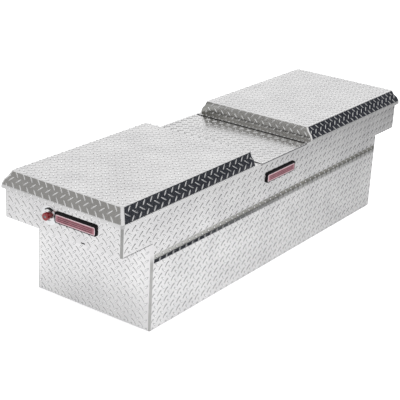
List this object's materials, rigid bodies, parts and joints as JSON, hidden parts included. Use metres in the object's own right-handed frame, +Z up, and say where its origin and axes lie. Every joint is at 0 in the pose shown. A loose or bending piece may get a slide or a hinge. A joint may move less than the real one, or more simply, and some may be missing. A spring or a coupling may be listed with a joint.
{
  "type": "truck tool box",
  "caption": "Cross-bed truck tool box in diamond tread plate: a winged tub with two lids that hinge at a fixed centre panel, gas springs and push-button latches.",
  "frame": {"origin": "middle of the tub floor's underside", "axes": "+X along the length to the right-hand lid, +Y to the rear wall, +Z up"},
  "size_m": [1.836, 0.514, 0.47],
  "materials": {
    "tread_plate": "bright diamond tread plate",
    "plain_sheet": "mill finish sheet",
    "zinc_steel": "zinc plated",
    "seal_rubber": "matt bulb seal",
    "lock_ring": "smooth die casting",
    "red_button": "gloss red",
    "key_metal": "bright plate",
    "black_tube": "satin black",
    "rod_steel": "ground and plated",
    "badge_black": "gloss black",
    "badge_red": "satin red with pale border"
  },
  "bodies": {
    "root": {"front_panel": "tread_plate", "rear_panel": "tread_plate", "floor_pan": "tread_plate", "front_rim": "plain_sheet", "rear_rim": "plain_sheet", "centre_panel": "tread_plate", "front_badge_frame": "badge_black", "front_badge_plate": "badge_red", "left_lower_end": "tread_plate", "left_wing_floor": "tread_plate", "left_upper_end": "tread_plate", "left_end_rim": "plain_sheet", "left_hinge_beam": "plain_sheet", "left_seal": "seal_rubber", "left_fixed_leaf": "zinc_steel", "left_hinge_pin": "zinc_steel", "left_latch_case": "zinc_steel", "left_lock_housing": "lock_ring", "left_lock_nut": "zinc_steel", "left_strut_bracket": "zinc_steel", "left_badge_frame": "badge_black", "left_badge_plate": "badge_red", "right_lower_end": "tread_plate", "right_wing_floor": "tread_plate", "right_upper_end": "tread_plate", "right_end_rim": "plain_sheet", "right_hinge_beam": "plain_sheet", "right_seal": "seal_rubber", "right_fixed_leaf": "zinc_steel", "right_hinge_pin": "zinc_steel", "right_latch_case": "zinc_steel", "right_lock_housing": "lock_ring", "right_lock_nut": "zinc_steel", "right_strut_bracket": "zinc_steel", "right_badge_frame": "badge_black", "right_badge_plate": "badge_red"},
    "left_lid": {"left_lid_leaf": "zinc_steel", "left_lid_skin": "tread_plate", "left_lid_liner": "plain_sheet", "left_lid_stiffeners": "plain_sheet", "left_striker": "zinc_steel", "left_lid_bracket": "zinc_steel"},
    "left_tube": {"left_gas_tube": "black_tube"},
    "left_rod": {"left_gas_rod": "rod_steel"},
    "left_hook": {"left_latch_hook": "zinc_steel"},
    "left_lever": {"left_release_lever": "zinc_steel"},
    "left_button": {"left_lock_button": "red_button"},
    "left_key": {"left_key_cylinder": "key_metal"},
    "right_lid": {"right_lid_leaf": "zinc_steel", "right_lid_skin": "tread_plate", "right_lid_liner": "plain_sheet", "right_lid_stiffeners": "plain_sheet", "right_striker": "zinc_steel", "right_lid_bracket": "zinc_steel"},
    "right_tube": {"right_gas_tube": "black_tube"},
    "right_rod": {"right_gas_rod": "rod_steel"},
    "right_hook": {"right_latch_hook": "zinc_steel"},
    "right_lever": {"right_release_lever": "zinc_steel"},
    "right_button": {"right_lock_button": "red_button"},
    "right_key": {"right_key_cylinder": "key_metal"}
  },
  "joints": [
    {"name": "left_lid_hinge", "type": "hinge", "parent": "root", "child": "left_lid", "pos_m": [-0.152, 0, 0.42], "axis": [0, 1, 0], "range_deg": [0, 80]},
    {"name": "left_strut_pivot", "type": "hinge", "parent": "root", "child": "left_tube", "pos_m": [-0.28, 0.196, 0.15], "axis": [0, 1, 0], "range_deg": [0, 21]},
    {"name": "left_strut_slide", "type": "slide", "parent": "left_tube", "child": "left_rod", "axis": [-0.1532, 0, 0.9882], "range_m": [0, 0.181]},
    {"name": "left_button_press", "type": "slide", "parent": "root", "child": "left_button", "axis": [1, 0, 0], "range_m": [0, 0.005], "stiffness_N_per_m": 400, "springref_m": -0.01},
    {"name": "left_key_turn", "type": "hinge", "parent": "left_button", "child": "left_key", "pos_m": [-0.912, 0.05, 0.37], "axis": [-1, 0, 0], "range_deg": [0, 90]},
    {"name": "left_hook_turn", "type": "hinge", "parent": "root", "child": "left_hook", "pos_m": [-0.837, 0.026, 0.352], "axis": [-1, 0, 0], "range_deg": [0, 25]},
    {"name": "left_lever_turn", "type": "hinge", "parent": "root", "child": "left_lever", "pos_m": [-0.872, 0.05, 0.343], "axis": [0, 1, 0], "range_deg": [0, 11]},
    {"name": "right_lid_hinge", "type": "hinge", "parent": "root", "child": "right_lid", "pos_m": [0.152, 0, 0.42], "axis": [0, -1, 0], "range_deg": [0, 80]},
    {"name": "right_strut_pivot", "type": "hinge", "parent": "root", "child": "right_tube", "pos_m": [0.28, 0.196, 0.15], "axis": [0, -1, 0], "range_deg": [0, 21]},
    {"name": "right_strut_slide", "type": "slide", "parent": "right_tube", "child": "right_rod", "axis": [0.1532, 0, 0.9882], "range_m": [0, 0.181]},
    {"name": "right_button_press", "type": "slide", "parent": "root", "child": "right_button", "axis": [-1, 0, 0], "range_m": [0, 0.005], "stiffness_N_per_m": 400, "springref_m": -0.01},
    {"name": "right_key_turn", "type": "hinge", "parent": "right_button", "child": "right_key", "pos_m": [0.912, 0.05, 0.37], "axis": [1, 0, 0], "range_deg": [0, 90]},
    {"name": "right_hook_turn", "type": "hinge", "parent": "root", "child": "right_hook", "pos_m": [0.837, 0.026, 0.352], "axis": [-1, 0, 0], "range_deg": [0, 25]},
    {"name": "right_lever_turn", "type": "hinge", "parent": "root", "child": "right_lever", "pos_m": [0.872, 0.05, 0.343], "axis": [0, -1, 0], "range_deg": [0, 11]}
  ],
  "couplings": [
    {"joint": "left_strut_pivot", "follows": "left_lid_hinge", "ratio": 0.25207},
    {"joint": "left_strut_slide", "follows": "left_lid_hinge", "m_per_rad": 0.12958},
    {"joint": "left_lever_turn", "follows": "left_button_press", "rad_per_m": 37.5},
    {"joint": "right_strut_pivot", "follows": "right_lid_hinge", "ratio": 0.25207},
    {"joint": "right_strut_slide", "follows": "right_lid_hinge", "m_per_rad": 0.12958},
    {"joint": "right_lever_turn", "follows": "right_button_press", "rad_per_m": 37.5}
  ]
}
